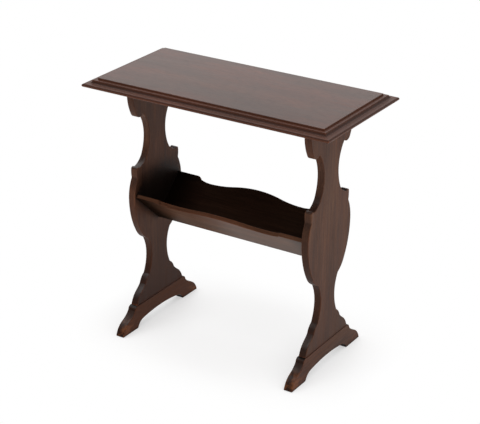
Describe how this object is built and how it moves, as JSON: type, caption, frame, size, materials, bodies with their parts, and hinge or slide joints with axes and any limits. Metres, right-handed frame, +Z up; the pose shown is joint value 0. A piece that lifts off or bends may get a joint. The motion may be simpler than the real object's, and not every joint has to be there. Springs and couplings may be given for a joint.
{
  "type": "magazine table with rack",
  "caption": "Small rectangular occasional table with a moulded top on shaped plank uprights with arched feet, and a V-shaped magazine trough between the uprights.",
  "frame": {"origin": "on the floor under the middle of the top", "axes": "+X along the length of the top and of the trough, +Y from front to back, +Z up"},
  "size_m": [0.555, 0.274, 0.55],
  "materials": {
    "polished_wood": "dark satin polish",
    "plain_wood": "unpolished",
    "dowel_wood": "plain beech",
    "steel": "plain"
  },
  "bodies": {
    "root": {"table_top": "polished_wood", "left_upright": "polished_wood", "right_upright": "polished_wood", "left_foot": "polished_wood", "right_foot": "polished_wood", "trough_front_board": "polished_wood", "trough_back_board": "polished_wood", "left_cleat": "plain_wood", "right_cleat": "plain_wood", "left_cleat_screws": "steel", "right_cleat_screws": "steel", "left_foot_dowels": "dowel_wood", "right_foot_dowels": "dowel_wood", "left_trough_dowels": "dowel_wood", "right_trough_dowels": "dowel_wood", "trough_pins": "steel"}
  },
  "joints": []
}
